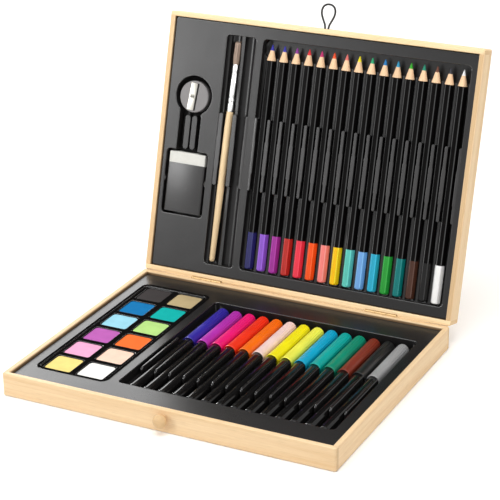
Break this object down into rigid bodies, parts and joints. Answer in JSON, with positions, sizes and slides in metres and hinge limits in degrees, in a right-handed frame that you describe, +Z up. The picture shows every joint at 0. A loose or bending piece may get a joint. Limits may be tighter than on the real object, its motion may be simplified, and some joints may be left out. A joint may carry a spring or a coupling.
{
  "type": "wooden colouring case",
  "caption": "Shallow hinged wooden case standing open: formed black inserts hold markers and a paint set in the base, and pencils, a brush, a sharpener and an eraser in the lid.",
  "frame": {"origin": "centre of the base's underside, on the table", "axes": "+Z up, +Y towards the hinges, +X to the right as seen from the front"},
  "size_m": [0.262, 0.2876, 0.2347],
  "materials": {
    "pine": "fine sanded and clear lacquered",
    "pine_panel": "thin sanded panel",
    "black_insert": "formed sheet with a low sheen",
    "elastic": "round braided elastic",
    "hinge_steel": "plated",
    "paint_tray": "moulded",
    "paint": "pressed watercolour tablets in twelve colours",
    "blade_steel": "ground",
    "sharpener_grey": "moulded",
    "rubber_white": "soft",
    "card_black": "printed card",
    "handle_wood": "lacquered",
    "ferrule_metal": "bright",
    "bristle": "soft hair",
    "pencil_01_navy": "black lacquered casing with a navy dipped end, natural wood at the cone, and a navy lead",
    "pencil_02_violet": "black lacquered casing with a violet dipped end, natural wood at the cone, and a violet lead",
    "pencil_03_magenta": "black lacquered casing with a magenta dipped end, natural wood at the cone, and a magenta lead",
    "pencil_04_crimson": "black lacquered casing with a crimson dipped end, natural wood at the cone, and a crimson lead",
    "pencil_05_rose": "black lacquered casing with a rose dipped end, natural wood at the cone, and a rose lead",
    "pencil_06_orange": "black lacquered casing with a orange dipped end, natural wood at the cone, and a orange lead",
    "pencil_07_salmon": "black lacquered casing with a salmon dipped end, natural wood at the cone, and a salmon lead",
    "pencil_08_yellow": "black lacquered casing with a yellow dipped end, natural wood at the cone, and a yellow lead",
    "pencil_09_aqua": "black lacquered casing with a aqua dipped end, natural wood at the cone, and a aqua lead",
    "pencil_10_sky": "black lacquered casing with a sky dipped end, natural wood at the cone, and a sky lead",
    "pencil_11_cyan": "black lacquered casing with a cyan dipped end, natural wood at the cone, and a cyan lead",
    "pencil_12_green": "black lacquered casing with a green dipped end, natural wood at the cone, and a green lead",
    "pencil_13_teal": "black lacquered casing with a teal dipped end, natural wood at the cone, and a teal lead",
    "pencil_14_brown": "black lacquered casing with a brown dipped end, natural wood at the cone, and a brown lead",
    "pencil_15_black": "black lacquered casing with a black dipped end, natural wood at the cone, and a black lead",
    "pencil_16_white": "black lacquered casing with a white dipped end, natural wood at the cone, and a white lead",
    "marker_01_indigo": "coloured cap on a black barrel",
    "marker_02_purple": "coloured cap on a black barrel",
    "marker_03_pink": "coloured cap on a black barrel",
    "marker_04_red": "coloured cap on a black barrel",
    "marker_05_orange": "coloured cap on a black barrel",
    "marker_06_peach": "coloured cap on a black barrel",
    "marker_07_yellow": "coloured cap on a black barrel",
    "marker_08_lemon": "coloured cap on a black barrel",
    "marker_09_cyan": "coloured cap on a black barrel",
    "marker_10_teal": "coloured cap on a black barrel",
    "marker_11_green": "coloured cap on a black barrel",
    "marker_12_brown": "coloured cap on a black barrel",
    "marker_13_black": "coloured cap on a black barrel",
    "marker_14_grey": "coloured cap on a black barrel"
  },
  "bodies": {
    "base": {"base_front_wall": "pine", "base_back_wall": "pine", "base_left_wall": "pine", "base_right_wall": "pine", "base_bottom_panel": "pine_panel", "base_insert": "black_insert", "closure_knob": "pine", "hinge_base_leaves": "hinge_steel", "hinge_base_screws": "hinge_steel", "hinge_pins": "hinge_steel"},
    "lid": {"lid_front_wall": "pine", "lid_back_wall": "pine", "lid_left_wall": "pine", "lid_right_wall": "pine", "lid_top_panel": "pine_panel", "lid_insert": "black_insert", "elastic_loop": "elastic", "elastic_knot": "elastic", "hinge_lid_leaves": "hinge_steel", "hinge_lid_screws": "hinge_steel"},
    "paint_set": {"paint_tray": "paint_tray", "paint_tablets": "paint"},
    "brush": {"brush_handle": "handle_wood", "brush_ferrule": "ferrule_metal", "brush_bristles": "bristle"},
    "sharpener": {"sharpener_body": "sharpener_grey", "sharpener_blade": "blade_steel", "sharpener_screw": "blade_steel"},
    "eraser": {"eraser_rubber": "rubber_white", "eraser_sleeve": "card_black"},
    "pencil_01": {"pencil_01_navy": "pencil_01_navy"},
    "pencil_02": {"pencil_02_violet": "pencil_02_violet"},
    "pencil_03": {"pencil_03_magenta": "pencil_03_magenta"},
    "pencil_04": {"pencil_04_crimson": "pencil_04_crimson"},
    "pencil_05": {"pencil_05_rose": "pencil_05_rose"},
    "pencil_06": {"pencil_06_orange": "pencil_06_orange"},
    "pencil_07": {"pencil_07_salmon": "pencil_07_salmon"},
    "pencil_08": {"pencil_08_yellow": "pencil_08_yellow"},
    "pencil_09": {"pencil_09_aqua": "pencil_09_aqua"},
    "pencil_10": {"pencil_10_sky": "pencil_10_sky"},
    "pencil_11": {"pencil_11_cyan": "pencil_11_cyan"},
    "pencil_12": {"pencil_12_green": "pencil_12_green"},
    "pencil_13": {"pencil_13_teal": "pencil_13_teal"},
    "pencil_14": {"pencil_14_brown": "pencil_14_brown"},
    "pencil_15": {"pencil_15_black": "pencil_15_black"},
    "pencil_16": {"pencil_16_white": "pencil_16_white"},
    "marker_01": {"marker_01_indigo": "marker_01_indigo"},
    "marker_02": {"marker_02_purple": "marker_02_purple"},
    "marker_03": {"marker_03_pink": "marker_03_pink"},
    "marker_04": {"marker_04_red": "marker_04_red"},
    "marker_05": {"marker_05_orange": "marker_05_orange"},
    "marker_06": {"marker_06_peach": "marker_06_peach"},
    "marker_07": {"marker_07_yellow": "marker_07_yellow"},
    "marker_08": {"marker_08_lemon": "marker_08_lemon"},
    "marker_09": {"marker_09_cyan": "marker_09_cyan"},
    "marker_10": {"marker_10_teal": "marker_10_teal"},
    "marker_11": {"marker_11_green": "marker_11_green"},
    "marker_12": {"marker_12_brown": "marker_12_brown"},
    "marker_13": {"marker_13_black": "marker_13_black"},
    "marker_14": {"marker_14_grey": "marker_14_grey"}
  },
  "joints": [
    {"name": "lid_hinge", "type": "hinge", "parent": "base", "child": "lid", "pos_m": [0, 0.104, 0.0177], "axis": [-1, 0, 0], "range_deg": [-105.6, 0]},
    {"name": "paint_set_lift", "type": "slide", "parent": "base", "child": "paint_set", "axis": [0, 0, 1], "range_m": [0, 0.025]},
    {"name": "brush_lift", "type": "slide", "parent": "lid", "child": "brush", "axis": [0, -0.9632, 0.2689], "range_m": [0, 0.025]},
    {"name": "sharpener_lift", "type": "slide", "parent": "lid", "child": "sharpener", "axis": [0, -0.9632, 0.2689], "range_m": [0, 0.025]},
    {"name": "eraser_lift", "type": "slide", "parent": "lid", "child": "eraser", "axis": [0, -0.9632, 0.2689], "range_m": [0, 0.025]},
    {"name": "pencil_01_lift", "type": "slide", "parent": "lid", "child": "pencil_01", "axis": [0, -0.9632, 0.2689], "range_m": [0, 0.025]},
    {"name": "pencil_02_lift", "type": "slide", "parent": "lid", "child": "pencil_02", "axis": [0, -0.9632, 0.2689], "range_m": [0, 0.025]},
    {"name": "pencil_03_lift", "type": "slide", "parent": "lid", "child": "pencil_03", "axis": [0, -0.9632, 0.2689], "range_m": [0, 0.025]},
    {"name": "pencil_04_lift", "type": "slide", "parent": "lid", "child": "pencil_04", "axis": [0, -0.9632, 0.2689], "range_m": [0, 0.025]},
    {"name": "pencil_05_lift", "type": "slide", "parent": "lid", "child": "pencil_05", "axis": [0, -0.9632, 0.2689], "range_m": [0, 0.025]},
    {"name": "pencil_06_lift", "type": "slide", "parent": "lid", "child": "pencil_06", "axis": [0, -0.9632, 0.2689], "range_m": [0, 0.025]},
    {"name": "pencil_07_lift", "type": "slide", "parent": "lid", "child": "pencil_07", "axis": [0, -0.9632, 0.2689], "range_m": [0, 0.025]},
    {"name": "pencil_08_lift", "type": "slide", "parent": "lid", "child": "pencil_08", "axis": [0, -0.9632, 0.2689], "range_m": [0, 0.025]},
    {"name": "pencil_09_lift", "type": "slide", "parent": "lid", "child": "pencil_09", "axis": [0, -0.9632, 0.2689], "range_m": [0, 0.025]},
    {"name": "pencil_10_lift", "type": "slide", "parent": "lid", "child": "pencil_10", "axis": [0, -0.9632, 0.2689], "range_m": [0, 0.025]},
    {"name": "pencil_11_lift", "type": "slide", "parent": "lid", "child": "pencil_11", "axis": [0, -0.9632, 0.2689], "range_m": [0, 0.025]},
    {"name": "pencil_12_lift", "type": "slide", "parent": "lid", "child": "pencil_12", "axis": [0, -0.9632, 0.2689], "range_m": [0, 0.025]},
    {"name": "pencil_13_lift", "type": "slide", "parent": "lid", "child": "pencil_13", "axis": [0, -0.9632, 0.2689], "range_m": [0, 0.025]},
    {"name": "pencil_14_lift", "type": "slide", "parent": "lid", "child": "pencil_14", "axis": [0, -0.9632, 0.2689], "range_m": [0, 0.025]},
    {"name": "pencil_15_lift", "type": "slide", "parent": "lid", "child": "pencil_15", "axis": [0, -0.9632, 0.2689], "range_m": [0, 0.025]},
    {"name": "pencil_16_lift", "type": "slide", "parent": "lid", "child": "pencil_16", "axis": [0, -0.9632, 0.2689], "range_m": [0, 0.025]},
    {"name": "marker_01_lift", "type": "slide", "parent": "base", "child": "marker_01", "axis": [0, 0, 1], "range_m": [0, 0.025]},
    {"name": "marker_02_lift", "type": "slide", "parent": "base", "child": "marker_02", "axis": [0, 0, 1], "range_m": [0, 0.025]},
    {"name": "marker_03_lift", "type": "slide", "parent": "base", "child": "marker_03", "axis": [0, 0, 1], "range_m": [0, 0.025]},
    {"name": "marker_04_lift", "type": "slide", "parent": "base", "child": "marker_04", "axis": [0, 0, 1], "range_m": [0, 0.025]},
    {"name": "marker_05_lift", "type": "slide", "parent": "base", "child": "marker_05", "axis": [0, 0, 1], "range_m": [0, 0.025]},
    {"name": "marker_06_lift", "type": "slide", "parent": "base", "child": "marker_06", "axis": [0, 0, 1], "range_m": [0, 0.025]},
    {"name": "marker_07_lift", "type": "slide", "parent": "base", "child": "marker_07", "axis": [0, 0, 1], "range_m": [0, 0.025]},
    {"name": "marker_08_lift", "type": "slide", "parent": "base", "child": "marker_08", "axis": [0, 0, 1], "range_m": [0, 0.025]},
    {"name": "marker_09_lift", "type": "slide", "parent": "base", "child": "marker_09", "axis": [0, 0, 1], "range_m": [0, 0.025]},
    {"name": "marker_10_lift", "type": "slide", "parent": "base", "child": "marker_10", "axis": [0, 0, 1], "range_m": [0, 0.025]},
    {"name": "marker_11_lift", "type": "slide", "parent": "base", "child": "marker_11", "axis": [0, 0, 1], "range_m": [0, 0.025]},
    {"name": "marker_12_lift", "type": "slide", "parent": "base", "child": "marker_12", "axis": [0, 0, 1], "range_m": [0, 0.025]},
    {"name": "marker_13_lift", "type": "slide", "parent": "base", "child": "marker_13", "axis": [0, 0, 1], "range_m": [0, 0.025]},
    {"name": "marker_14_lift", "type": "slide", "parent": "base", "child": "marker_14", "axis": [0, 0, 1], "range_m": [0, 0.025]}
  ]
}
